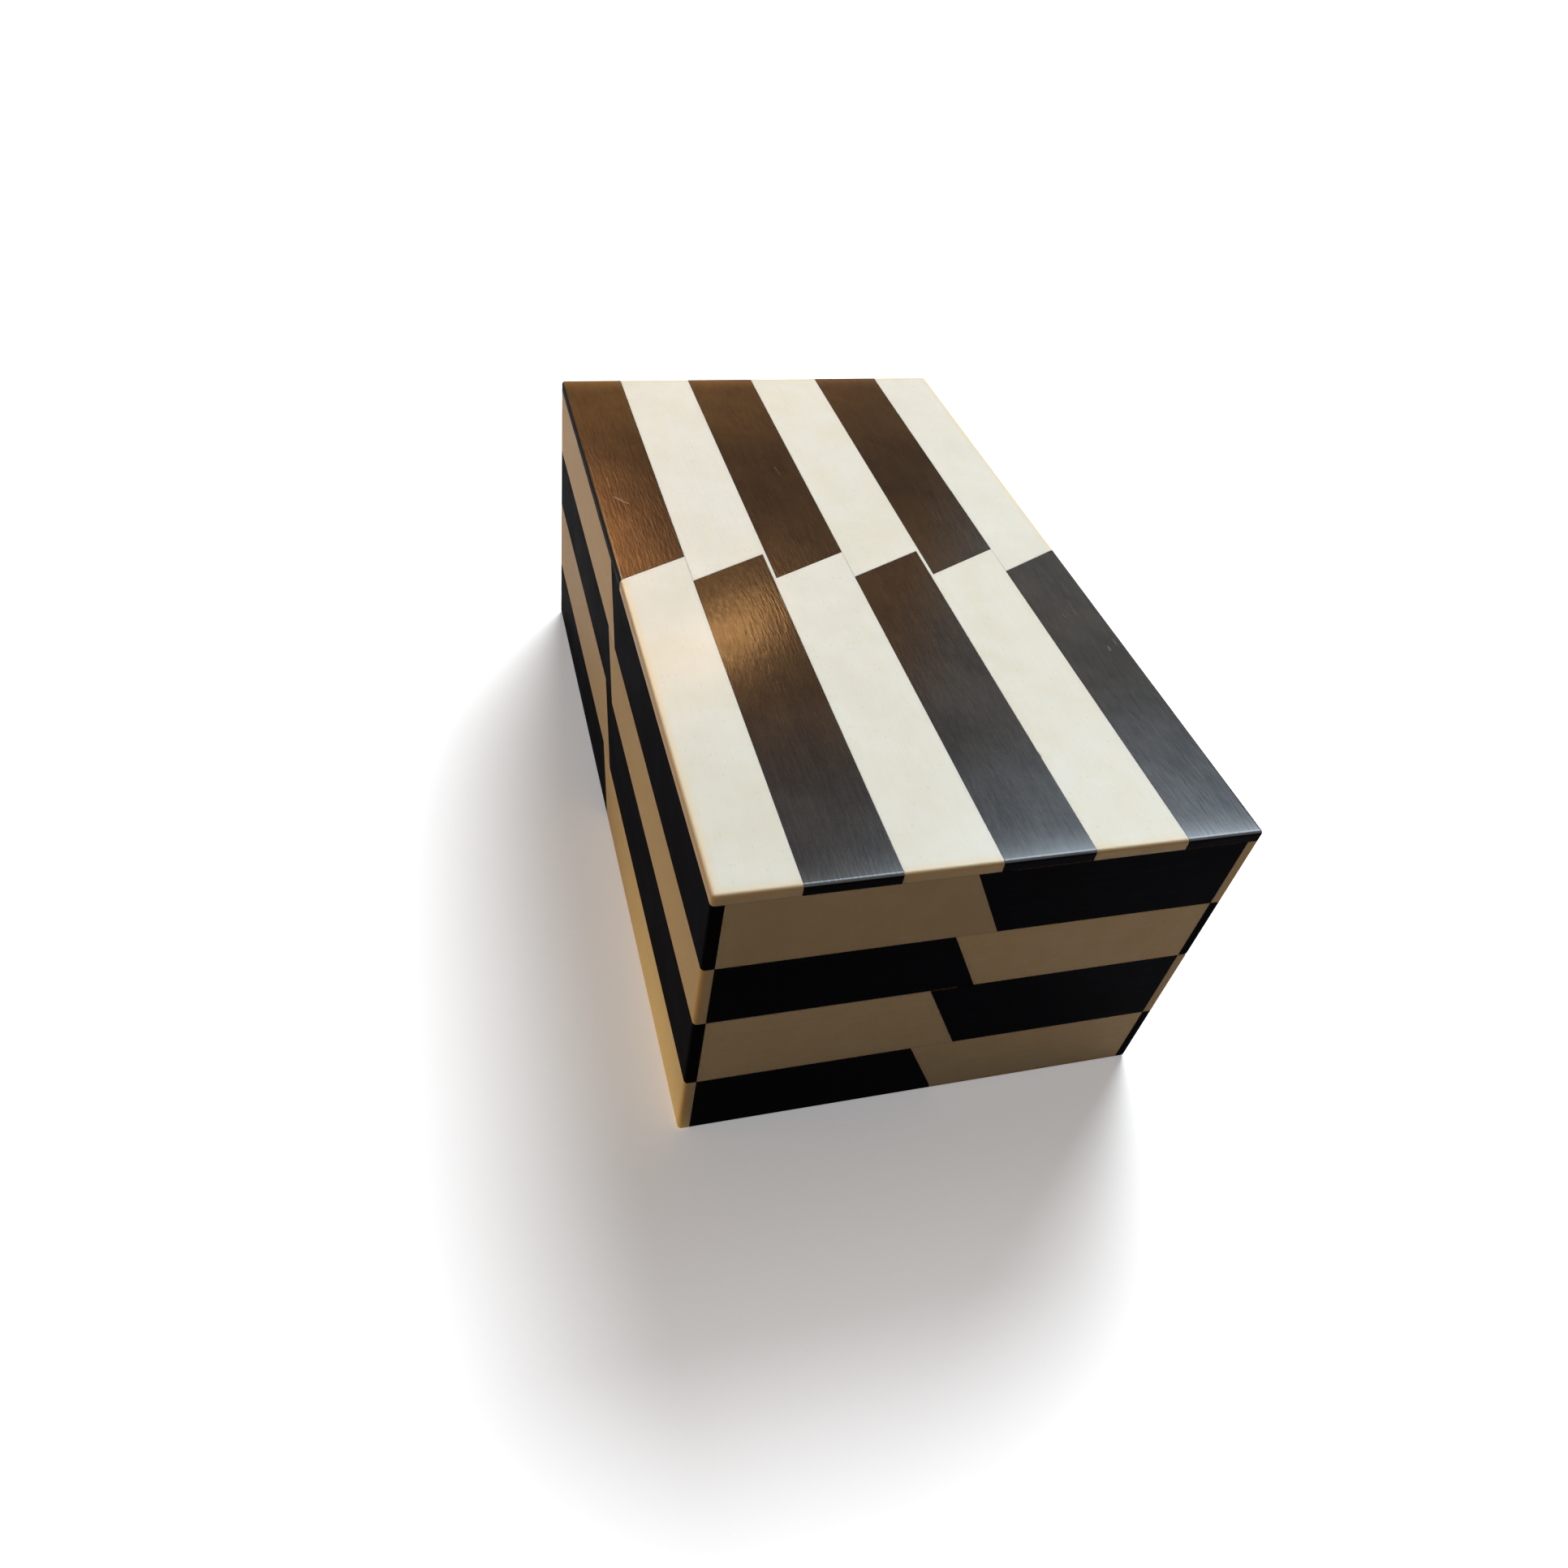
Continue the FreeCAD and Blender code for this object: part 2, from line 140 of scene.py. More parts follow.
def tinted(tree, colour, mask, tint, share):
    """A colour with a share of a tint where a mask is full."""
    return mixed(tree, times(tree, mask, share), colour, tint)


def eased(tree, value, start, end, low=0.0, high=1.0):
    """A value that goes smoothly from low to high as the input goes from start to end."""
    made = add(tree, "ShaderNodeMapRange", {0: value, 1: start, 2: end, 3: low, 4: high},
               interpolation_type="SMOOTHSTEP")
    return made.outputs[0]


def within(tree, value, start, first, last, end):
    """One between first and last, falling smoothly to nothing at start and at end."""
    return times(tree, eased(tree, value, start, first), eased(tree, value, end, last))


def nearness(tree, place, centre, outer, inner):
    """One within an inner distance of a point, falling smoothly to nothing at an outer one."""
    far = vector_number(tree, "LENGTH", vector_maths(tree, "SUBTRACT", place, tuple(centre)))
    return eased(tree, far, outer, inner)


def noise(tree, vector, scale=1.0, detail=2.0, roughness=0.5, distortion=0.0):
    """Smooth noise between nought and one."""
    values = {"Vector": vector, "Scale": scale, "Detail": detail, "Roughness": roughness,
              "Distortion": distortion}
    return add(tree, "ShaderNodeTexNoise", values).outputs["Fac"]


# Effects that materials share

VECTOR, FLOAT = "NodeSocketVector", "NodeSocketFloat"


def start_group(name, inputs, outputs):
    """An empty node group: its tree, the sockets that come in and the node that takes its results."""
    tree = bpy.data.node_groups.new(name, "ShaderNodeTree")
    for label, kind, value in inputs:
        socket = tree.interface.new_socket(label, in_out="INPUT", socket_type=kind)
        if value is not None:
            socket.default_value = value
    for label in outputs:
        tree.interface.new_socket(label, in_out="OUTPUT", socket_type=FLOAT)
    return tree, tree.nodes.new("NodeGroupInput").outputs, tree.nodes.new("NodeGroupOutput")


def use_group(tree, group, **values):
    """The outputs of a placed node group."""
    made = add(tree, "ShaderNodeGroup", node_tree=group)
    feed(tree, made, **values)
    return made.outputs


def drawn_out(tree, given):
    """A group's vector, divided by its length along X and by its width along Y and Z."""
    size = add(tree, "ShaderNodeCombineXYZ", {0: given["Length"], 1: given["Width"], 2: given["Width"]})
    return vector_maths(tree, "DIVIDE", given["Vector"], size.outputs[0])


def make_streaks_group():
    """Fine lines along X: noise that is long one way and narrow the other two."""
    tree, given, result = start_group(
        "fine_streaks",
        [("Vector", VECTOR, None), ("Length", FLOAT, 15 * MM), ("Width", FLOAT, 0.3 * MM)],
        ["Streaks", "Height"])
    faint, clear = 0.33, 0.67
    fine = noise(tree, drawn_out(tree, given), detail=4.0, roughness=0.6)
    feed(tree, result, Streaks=eased(tree, fine, faint, clear), Height=fine)
    return tree


def make_mottle_group():
    """Soft patches: slow noise, and a finer one at a third of its size, added."""
    slow_share, finer_share = 0.65, 0.35
    faint, clear = 0.3, 0.7
    tree, given, result = start_group(
        "soft_mottle", [("Vector", VECTOR, None), ("Size", FLOAT, 10 * MM)], ["Mottle"])
    scale = maths(tree, "DIVIDE", 1.0, given["Size"])
    slow = noise(tree, given["Vector"], scale, distortion=0.4)
    finer = noise(tree, given["Vector"], times(tree, scale, 3.0))
    both = times_plus(tree, finer, finer_share, times(tree, slow, slow_share))
    feed(tree, result, Mottle=eased(tree, both, faint, clear))
    return tree


def make_rim_group():
    """Nearness to the outer edges of the box.

    Of a point's distances to the nearest end, to the nearest long side and to the top or the
    underside, the smallest is its own face's, so the middle one is the distance to an edge.
    """
    tree, given, result = start_group(
        "outer_rim", [("Vector", VECTOR, None), ("Reach", FLOAT, 2 * MM)], ["Rim"])
    middle = (OUTER_LOW + OUTER_HIGH) / 2
    half = (OUTER_HIGH - OUTER_LOW) / 2
    centred = vector_maths(tree, "SUBTRACT", given["Vector"], tuple(middle))
    inside = vector_maths(tree, "SUBTRACT", tuple(half), vector_maths(tree, "ABSOLUTE", centred))
    x, y, z = parts(tree, inside)
    lower = maths(tree, "MINIMUM", x, y)
    upper = maths(tree, "MAXIMUM", x, y)
    to_edge = maths(tree, "MAXIMUM", lower, maths(tree, "MINIMUM", upper, z))
    feed(tree, result, Rim=eased(tree, maths(tree, "DIVIDE", to_edge, given["Reach"]), 1.0, 0.0))
    return tree


def make_flecks_group():
    """Short dark flecks along X: cells of a drawn-out pattern, kept where a random draw is low."""
    tree, given, result = start_group(
        "flecks",
        [("Vector", VECTOR, None), ("Length", FLOAT, 2.2 * MM), ("Width", FLOAT, 0.6 * MM),
         ("Share", FLOAT, 0.2)],
        ["Flecks"])
    cells = add(tree, "ShaderNodeTexVoronoi", {"Vector": drawn_out(tree, given), "Scale": 1.0}).outputs
    fleck_rim, fleck_core = 0.34, 0.08
    spot = eased(tree, cells["Distance"], fleck_rim, fleck_core)
    draw = add(tree, "ShaderNodeSeparateColor", {0: cells["Color"]}).outputs[0]
    feed(tree, result, Flecks=times(tree, spot, maths(tree, "LESS_THAN", draw, given["Share"])))
    return tree


def make_scratch_group():
    """One mark: nearness to a straight line within a width, thinning out towards both ends."""
    tree, given, result = start_group(
        "scratch",
        [("Vector", VECTOR, None), ("Start", VECTOR, None), ("Run", VECTOR, None),
         ("Width", FLOAT, 0.3 * MM)],
        ["Mark"])
    away = vector_maths(tree, "SUBTRACT", given["Vector"], given["Start"])
    along = vector_number(tree, "DOT_PRODUCT", away, given["Run"])
    whole = vector_number(tree, "DOT_PRODUCT", given["Run"], given["Run"])
    share = add(tree, "ShaderNodeMath", {0: along, 1: whole}, operation="DIVIDE", use_clamp=True).outputs[0]
    foot = add(tree, "ShaderNodeVectorMath", {0: given["Run"], "Scale": share}, operation="SCALE")
    gap = vector_number(tree, "LENGTH", vector_maths(tree, "SUBTRACT", away, foot.outputs[0]))
    across = eased(tree, maths(tree, "DIVIDE", gap, given["Width"]), 1.0, 0.0)
    full_from = 0.15
    to_end = times(tree, share, maths(tree, "SUBTRACT", 1.0, share))
    feed(tree, result, Mark=times(tree, across, eased(tree, to_end, 0.0, full_from)))
    return tree


def make_polish_group():
    """Polish of the top face by hands.

    Polish is full on the face and gone half way down its rounded edges. Held grows towards each
    end, as the square of the share of the way through the end zone, and by some more of its
    sixth power close to the edge itself.
    """
    dull_below, polished_above = TOP - 0.55 * MM, TOP - 0.25 * MM
    end_zone, edge_share = 10 * MM, 0.6
    tree, given, result = start_group("top_polish", [("Vector", VECTOR, None)], ["Polish", "Held"])
    x, _, height = parts(tree, given["Vector"])
    past = maths(tree, "SUBTRACT", maths(tree, "ABSOLUTE", x), END - end_zone)
    share = maths(tree, "DIVIDE", maths(tree, "MAXIMUM", past, 0.0), end_zone)
    square = times(tree, share, share)
    feed(tree, result, Polish=eased(tree, height, dull_below, polished_above),
         Held=times_plus(tree, maths(tree, "POWER", square, 3.0), edge_share, square))
    return tree


STREAKS = make_streaks_group()
MOTTLE = make_mottle_group()
RIM = make_rim_group()
FLECKS = make_flecks_group()
SCRATCH = make_scratch_group()
POLISH = make_polish_group()


# Materials

def new_material(name):
    """A material, its tree, its shader and the object coordinates of its surface."""
    made = bpy.data.materials.new(name)
    made.use_nodes = True
    tree = made.node_tree
    tree.nodes.clear()
    shader = add(tree, "ShaderNodeBsdfPrincipled")
    output = add(tree, "ShaderNodeOutputMaterial")
    tree.links.new(shader.outputs[0], output.inputs["Surface"])
    place = add(tree, "ShaderNodeTexCoord").outputs["Object"]
    return made, tree, shader, place


GRAIN_TURNS = {"X": (0, 0, 0), "Y": (0, 0, math.pi / 2)}
CUT_STEP = np.array((0.37, 0.21, 0.13))


def run_along(tree, place, run, cut):
    """Object coordinates turned so that the grain runs along X, and moved on for each cut."""
    values = {"Vector": place, "Location": tuple(cut * CUT_STEP), "Rotation": GRAIN_TURNS[run]}
    return add(tree, "ShaderNodeMapping", values).outputs[0]


def bumped(tree, *raised):
    """A normal from masks and the heights that they raise, one bump after another."""
    normal = None
    for mask, height in raised:
        values = {"Height": times(tree, mask, height), "Distance": 1.0, "Strength": 1.0}
        if normal is not None:
            values["Normal"] = normal
        normal = add(tree, "ShaderNodeBump", values).outputs[0]
    return normal


def on_top(x, y):
    """A point of the top, from millimetres along the length and the depth."""
    return np.array((x * MM, y * MM, TOP))


def on_end(y, height):
    """A point of the near end, from millimetres along the depth and a height in metres."""
    return np.array((END, y * MM, height))


# Marks: start, end, half width in millimetres, strength.
HORN_MARKS = [
    (on_top(-39.4, -60.1), on_top(-34.6, -55.8), 0.45, 1.0),
    (on_top(-38.6, -58.6), on_top(-36.2, -57.7), 0.4, 0.5),
    (on_top(-50.7, -59.9), on_top(-43.5, -60.1), 0.4, 0.5),
    (on_top(-28.4, -57.9), on_top(-14.4, -56.6), 0.5, 0.2),
    (on_top(-53.8, -7.3), on_top(-48.0, -6.5), 0.45, 0.3),
    (on_top(43.0, 59.8), on_top(45.4, 59.5), 0.4, 0.6),
    (on_top(40.0, 62.8), on_top(43.5, 62.4), 0.4, 0.3),
    (on_top(27.9, 53.2), on_top(30.3, 53.5), 0.4, 0.25),
    (on_top(21.6, 57.9), on_top(29.6, 57.3), 0.8, 0.12),
]
# Pale lines on the near end, along the parting and under the top strips: partly wear, partly a painted
# highlight on their edges.
END_WEAR_AND_HIGHLIGHTS = [
    (on_end(-7.0, PARTING), on_end(1.4, PARTING), 0.5, 0.9),
    (on_end(1.5, PLATE_LOW), on_end(24.5, PLATE_LOW), 0.4, 0.4),
    (on_end(44.0, PLATE_LOW), on_end(61.5, PLATE_LOW), 0.35, 0.22),
]
BONE_NICKS = [(on_top(79.8, 22.2), on_top(82.0, 22.3), 0.5, 0.8)]


def marked(tree, place, marks):
    """The strongest of several marks at each point, broken up by small patches."""
    most = None
    for start, end, width, strength in marks:
        mark = use_group(tree, SCRATCH, Vector=place, Start=tuple(start), Run=tuple(end - start),
                         Width=width * MM)["Mark"]
        mark = times(tree, mark, strength)
        most = mark if most is None else maths(tree, "MAXIMUM", most, mark)
    broken = use_group(tree, MOTTLE, Vector=place, Size=1.2 * MM)["Mottle"]
    return times(tree, most, eased(tree, broken, 0.0, 0.8, low=0.35))


# Colours are linear. A tint is a colour and its share.
BONE_CREAM = np.array((0.757, 0.767, 0.697))
BONE_PALE = np.array((0.800, 0.820, 0.771))
BONE_LINES = ((0.72, 0.68, 0.56), 0.16)
BONE_FLECKS = ((0.52, 0.44, 0.31), 0.3)
# Rim tint: partly yellowed bone, partly a painted golden glow of light through the bone's edges.
BONE_RIM_YELLOW_AND_GLOW = ((0.82, 0.66, 0.38), 0.6)
# Colour of a dark nick in the top's bone.
NICK_DARK = (0.05, 0.04, 0.035)
BONE_ROUGHNESS = (0.42, 0.54)
BONE_SHINE = (0.2, 0.32)
BONE_IOR = 1.54
BONE_DEPTH_TINT = (1.0, 0.9, 0.75)

# Bone differs from cut to cut: how much warmer the cream is, and how light the cut is, by cut
# on the top and by row on the long sides and on the ends, set to look as in the photograph. The
# row factors of the long sides and the ends also hold painted light and shade: they copy how
# brightly each row is lit there.
WARMER = np.array((0.5, 0.0, -1.0))
CUT_WARMTH = (0.0, 0.024, -0.012, 0.012)
TOP_TONES = (0.995, 0.99, 1.0, 0.96)
SIDE_TONES_AND_LIGHT = {"X": (1.08, 0.88, 0.95, 1.10), "Y": (0.86, 1.06, 1.08, 1.10)}


def bone(run, cut, top):
    """Bone: cream, cloudy, with faint lines and flecks along the strip, yellow at the rims, partly yellowed
    bone and partly a painted golden glow of light through the edges.
    """
    made, tree, shader, place = new_material(f"bone_{run.lower()}_{cut}_{'top' if top else 'side'}")
    along = run_along(tree, place, run, cut)
    cloud = use_group(tree, MOTTLE, Vector=along, Size=16 * MM)["Mottle"]
    lines = use_group(tree, STREAKS, Vector=along, Length=30 * MM, Width=0.7 * MM)["Streaks"]
    flecks = use_group(tree, FLECKS, Vector=along, Share=0.16)["Flecks"]
    rim = use_group(tree, RIM, Vector=place, Reach=3 * MM)["Rim"]
    # On the long sides and the ends the row factor also holds painted light and shade.
    tone = (TOP_TONES if top else SIDE_TONES_AND_LIGHT[run])[cut - 1]
    cream = (BONE_CREAM + CUT_WARMTH[cut - 1] * WARMER) * tone
    colour = mixed(tree, cloud, cream, BONE_PALE * tone)
    colour = tinted(tree, colour, lines, *BONE_LINES)
    colour = tinted(tree, colour, flecks, *BONE_FLECKS)
    # Yellow at the rims: partly yellowed bone, partly a painted golden glow of light through the edges.
    colour = tinted(tree, colour, rim, *BONE_RIM_YELLOW_AND_GLOW)
    if top:
        colour = mixed(tree, marked(tree, place, BONE_NICKS), colour, NICK_DARK)
        polish = use_group(tree, POLISH, Vector=place)["Polish"]
        shine = times(tree, polish, ranging(tree, cloud, *BONE_SHINE))
        feed(tree, shader, Coat_Weight=shine, Coat_Roughness=0.15, Coat_IOR=1.5)
    normal = bumped(tree, (lines, 0.003 * MM), (flecks, -0.006 * MM))
    feed(tree, shader, Base_Color=colour, Roughness=ranging(tree, cloud, *BONE_ROUGHNESS), Normal=normal)
    feed(tree, shader, IOR=BONE_IOR, Specular_IOR_Level=0.08 if top else 0.012,
         Subsurface_Weight=0.8 if top else 0.7, Subsurface_Radius=BONE_DEPTH_TINT,
         Subsurface_Scale=1 * MM)
    return made


# The horn of the sides and of the top's edges is painted darker and bluer than the top's face: painted shade.
HORN_DARK_SHADED = (0.0020, 0.0026, 0.0054)
HORN_LIGHT_SHADED = (0.0040, 0.0042, 0.0060)
HORN_FACE_DARK = (0.006, 0.006, 0.007)
HORN_FACE_BROWN = (0.011, 0.009, 0.008)
HORN_SCRATCHES = (0.05, 0.04, 0.03)
SIDE_SCRATCHED = 0.06
FACE_SCRATCHED = 0.25
HORN_MARK = (0.22, 0.17, 0.13)
HORN_IOR = 1.54
HORN_ROUGHNESS = (0.5, 0.6)

# Gloss of the horn under the polish, on the top, the long sides and the ends. It is set low, so
# that in this studio each face is as black as in the photograph.
HORN_TOP_GLOSS = 0.006
HORN_SIDE_GLOSS = {"X": 0.0016, "Y": 0.0034}

# Fine grooves in the polish of the top: how many to the metre, along and across, and how deep.
GROOVES = (200.0, 1330.0, 1330.0)
GROOVE_DEPTH = 0.036 * MM


def brushed_shine(tree, place, along, cloud, held, cut):
    """Share of polish on the top's horn: brushed along, rubbed across, cloudy, most where it is held."""
    brushed = use_group(tree, STREAKS, Vector=along, Length=6 * MM, Width=0.6 * MM)["Height"]
    rubbed = use_group(tree, STREAKS, Vector=run_along(tree, place, "Y", cut),
                       Length=8 * MM, Width=0.9 * MM)["Height"]
    shine = 0.185
    for mask, more in ((brushed, 0.45), (rubbed, 0.12), (cloud, 0.15), (held, 0.6)):
        shine = times_plus(tree, mask, more, shine)
    return shine


def horn(run, cut, top):
    """Black horn: satin, brushed along the strip, with fine pale scratches, brown clouds on top and painted
    shade on the sides.
    """
    made, tree, shader, place = new_material(f"horn_{run.lower()}_{cut}_{'top' if top else 'side'}")
    along = run_along(tree, place, run, cut)
    cloud = use_group(tree, MOTTLE, Vector=along, Size=20 * MM)["Mottle"]
    fine = use_group(tree, STREAKS, Vector=along, Length=3 * MM, Width=0.4 * MM)
    coarse = use_group(tree, STREAKS, Vector=along, Length=30 * MM, Width=1.1 * MM)
    scratched = times(tree, fine["Streaks"], coarse["Streaks"])
    # Darker and bluer than the top's face: painted shade.
    colour = mixed(tree, cloud, HORN_DARK_SHADED, HORN_LIGHT_SHADED)
    colour = tinted(tree, colour, scratched, HORN_SCRATCHES, SIDE_SCRATCHED)
    # The ends take pale lines at the parting and under the top strips: partly wear, partly painted highlight.
    marks = END_WEAR_AND_HIGHLIGHTS if run == "Y" else []
    if top:
        marks = HORN_MARKS + END_WEAR_AND_HIGHLIGHTS
        hands = use_group(tree, POLISH, Vector=place)
        face = mixed(tree, cloud, HORN_FACE_DARK, HORN_FACE_BROWN)
        face = tinted(tree, face, scratched, HORN_SCRATCHES, FACE_SCRATCHED)
        # The polished face takes the lighter face colour; the top's edges below keep the darker, bluer side
        # colour as painted shade.
        colour = mixed(tree, hands["Polish"], colour, face)
        shine = brushed_shine(tree, place, along, cloud, hands["Held"], cut)
        grooves = noise(tree, vector_maths(tree, "MULTIPLY", along, GROOVES))
        feed(tree, shader, Coat_Weight=times(tree, hands["Polish"], shine), Coat_Roughness=0.12,
             Coat_IOR=HORN_IOR, Coat_Normal=bumped(tree, (grooves, GROOVE_DEPTH)))
    if marks:
        colour = mixed(tree, marked(tree, place, marks), colour, HORN_MARK)
    normal = bumped(tree, (coarse["Height"], 0.02 * MM), (fine["Height"], 0.01 * MM))
    feed(tree, shader, Base_Color=colour, Roughness=ranging(tree, cloud, *HORN_ROUGHNESS), Normal=normal)
    feed(tree, shader, IOR=HORN_IOR, Specular_IOR_Level=HORN_TOP_GLOSS if top else HORN_SIDE_GLOSS[run])
    return made


WOOD_GROWTH = ((0.30, 0.165, 0.085), (0.43, 0.26, 0.14))
WOOD_FIBRES = ((0.22, 0.115, 0.06), 0.3)
WOOD_PORES = ((0.11, 0.055, 0.03), 0.6)
WOOD_ROUGHNESS = (0.5, 0.65)
WOOD_CUT = 3
GROWTH_STRETCH = (9, 70, 70)
GROWTH_LINES = 42.0


def case_wood(run):
    """Plain brown wood: wavy growth lines along the board, and fine dark pores."""
    made, tree, shader, place = new_material(f"case_wood_{run.lower()}")
    along = run_along(tree, place, run, WOOD_CUT)
    wavy = noise(tree, vector_maths(tree, "MULTIPLY", along, GROWTH_STRETCH), detail=3.0, distortion=0.6)
    growth = eased(tree, maths(tree, "SINE", times(tree, wavy, GROWTH_LINES)), -1.0, 1.0)
    fibres = use_group(tree, STREAKS, Vector=along, Length=20 * MM, Width=0.35 * MM)["Streaks"]
    pores = use_group(tree, FLECKS, Vector=along, Length=4 * MM, Width=0.4 * MM, Share=0.3)["Flecks"]
    colour = mixed(tree, growth, *WOOD_GROWTH)
    colour = tinted(tree, colour, fibres, *WOOD_FIBRES)
    colour = tinted(tree, colour, pores, *WOOD_PORES)
    normal = bumped(tree, (fibres, 0.015 * MM), (pores, -0.05 * MM))
    feed(tree, shader, Base_Color=colour, Roughness=ranging(tree, fibres, *WOOD_ROUGHNESS), Normal=normal)
    return made


BRASS = (0.80, 0.58, 0.27)
BRASS_TARNISH = ((0.50, 0.33, 0.13), 0.5)
BRASS_ROUGHNESS = (0.22, 0.34)
DRAWN_ROUGHER = 0.12


def hinge_brass():
    """Rolled brass, drawn along the pin, with darker tarnished patches."""
    made, tree, shader, place = new_material("hinge_brass")
    tarnish = use_group(tree, MOTTLE, Vector=place, Size=6 * MM)["Mottle"]
    drawn = use_group(tree, STREAKS, Vector=place, Length=6 * MM, Width=0.15 * MM)["Streaks"]
    colour = tinted(tree, BRASS, tarnish, *BRASS_TARNISH)
    rough = times_plus(tree, drawn, DRAWN_ROUGHER, ranging(tree, tarnish, *BRASS_ROUGHNESS))
    normal = bumped(tree, (drawn, 0.004 * MM))
    feed(tree, shader, Base_Color=colour, Roughness=rough, Normal=normal, Metallic=1.0)
    return made


FELT_FIBRE = {"Length": 3 * MM, "Width": 0.3 * MM}
RED_FELT = ((0.115, 0.010, 0.012), (0.27, 0.028, 0.030))
BLACK_FELT = ((0.010, 0.010, 0.010), (0.035, 0.034, 0.033))


def felt(name, dark, light):
    """Pressed felt: crossing fibres a fraction of a millimetre thick, on soft patches."""
    made, tree, shader, place = new_material(name)
    one_way = use_group(tree, STREAKS, Vector=run_along(tree, place, "X", 1), **FELT_FIBRE)["Streaks"]
    other_way = use_group(tree, STREAKS, Vector=run_along(tree, place, "Y", 2), **FELT_FIBRE)["Streaks"]
    fibres = maths(tree, "MAXIMUM", one_way, other_way)
    patch = use_group(tree, MOTTLE, Vector=place, Size=12 * MM)["Mottle"]
    fibre_share, patch_share = 0.65, 0.35
    tone = times_plus(tree, patch, patch_share, times(tree, fibres, fibre_share))
    normal = bumped(tree, (fibres, 0.12 * MM))
    feed(tree, shader, Base_Color=mixed(tree, tone, dark, light), Normal=normal, Roughness=0.95,
         Sheen_Weight=0.35, Sheen_Roughness=0.5, Specular_IOR_Level=0.2)
    return made


FILLER_DARK = (0.42, 0.34, 0.24)
FILLER_PALE = (0.60, 0.52, 0.40)
FILLER_ROUGHNESS = (0.5, 0.7)


def filler():
    """Pale filler of glue and bone dust, with darker grains."""
    made, tree, shader, place = new_material("joint_filler")
    grain = use_group(tree, MOTTLE, Vector=place, Size=3 * MM)["Mottle"]
    feed(tree, shader, Base_Color=mixed(tree, grain, FILLER_DARK, FILLER_PALE),
         Roughness=ranging(tree, grain, *FILLER_ROUGHNESS), Specular_IOR_Level=0.2)
    return made


def dress(node, material):
    """Gives a CAD node its material."""
    slots = NODES[node].data.materials
    slots.clear()
    slots.append(material)


CUTS = 4


def dress_strips():
    """Bone or horn on every strip, with the grain along it.

    Each row takes one of four cuts. The black strips of the top share a cut, so that their
    polish carries on from one to the next.
    """
    made = {}
    for count, name in enumerate(ALL_STRIPS):
        run = "Y" if name.startswith(("right_", "left_")) else "X"
        top = name.startswith("top_")
        maker = bone if name.endswith("_white") else horn
        cut = 1 if top and maker is horn else count // 2 % CUTS + 1
        key = (maker, run, cut, top)
        if key not in made:
            made[key] = maker(run, cut, top)
        dress(name, made[key])


def dress_case():
    """Wood on the walls and boards, with the grain along each, and brass on the hinges."""
    wood = {run: case_wood(run) for run in "XY"}
    brass = hinge_brass()
    for name in NODES:
        if name.endswith("_end_walls"):
            dress(name, wood["Y"])
        elif name.endswith(("_wall", "_board")):
            dress(name, wood["X"])
        elif "hinge" in name:
            dress(name, brass)


# Pieces

def new_piece(name, points, faces, material):
    """An object at the origin, from arrays of points and of faces."""
    mesh = bpy.data.meshes.new(name)
    mesh.from_pydata(points.tolist(), [], faces.tolist())
    mesh.update()
    mesh.materials.append(material)
    made = bpy.data.objects.new(name, mesh)
    bpy.context.scene.collection.objects.link(made)
    return made


# Filler between rows: how far it lies behind the faces, how deep it goes, its play between the
# strips, and the rounding of its corners outside and inside.
FILLER_INSET = 0.07 * MM
FILLER_DEPTH = 2.8 * MM
FILLER_PLAY = 0.005 * MM
FILLER_ROUND = 1.0 * MM
FILLER_INNER_ROUND = 0.1 * MM
CORNER_POINTS = 7


def rounded_ring(inset, radius):
    """Points round the box, an inset behind its sides: four corners, each a quarter circle."""
    turn = np.linspace(0, np.pi / 2, CORNER_POINTS) + np.arange(4)[:, None] * np.pi / 2
    quarters = np.stack([np.cos(turn), np.sin(turn)], axis=-1)
    signs = np.array([[1, 1], [-1, 1], [-1, -1], [1, -1]])
    centres = signs * (OUTER_HIGH[:2] - inset - radius)
    return (centres[:, None] + radius * quarters).reshape(-1, 2)


def filler_line(name, under, over, body, material):
    """The filler between two rows: a flat rectangle carried round the box, just behind its faces."""
    low, high = under + FILLER_PLAY, over - FILLER_PLAY
    outer = rounded_ring(FILLER_INSET, FILLER_ROUND)
    inner = rounded_ring(FILLER_DEPTH, FILLER_INNER_ROUND)
    rails = [(outer, low), (outer, high), (inner, high), (inner, low)]
    points = np.concatenate([np.column_stack([ring, np.full(len(ring), z)]) for ring, z in rails])
    here = np.arange(len(points)).reshape(len(rails), -1)
    after = np.roll(here, -1, axis=1)
    next_here, next_after = np.roll(here, -1, axis=0), np.roll(after, -1, axis=0)
    faces = np.stack([here, after, next_after, next_here], axis=-1).reshape(-1, 4)
    made = new_piece(name, points, faces, material)
    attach(made, body)


def lay_filler():
    """The lines under the top strips, between the lid's two rows, and between the base's two rows."""
    material = filler()
    filler_line("top_filler_line", row_edge("front_row1", HIGH), PLATE_LOW, "lid", material)
    filler_line("lid_filler_line", row_edge("front_row2", HIGH), row_edge("front_row1", LOW), "lid", material)
    filler_line("base_filler_line", row_edge("front_row4", HIGH), row_edge("front_row3", LOW), "base",
                material)


# Felt sheets: places of the points near a cut rim, the grid's step, how the rim is rolled, and
# the waves of the free face, in radians to the metre.
FELT_RIM = np.array([0.0, 0.12, 0.3, 0.55, 0.9, 1.4]) * MM
FELT_CELL = 2.5 * MM
ROLLED_SHARE = 0.25
ROLLED_REACH = 1.0 * MM
WAVE_HEIGHT = 0.05 * MM
WAVES_X, WAVES_Y, WAVES_ASLANT = 173, 211, 61
PHASE_X, PHASE_Y = 0.7, 1.9


def spread(half):
    """Places from -half to half: close together at the rim, then about a cell apart."""
    count = int(round(2 * (half - FELT_RIM[-1]) / FELT_CELL))
    inner = np.linspace(-half + FELT_RIM[-1], half - FELT_RIM[-1], count + 1)[1:-1]
    return np.concatenate([-half + FELT_RIM, inner, half - FELT_RIM[::-1]])


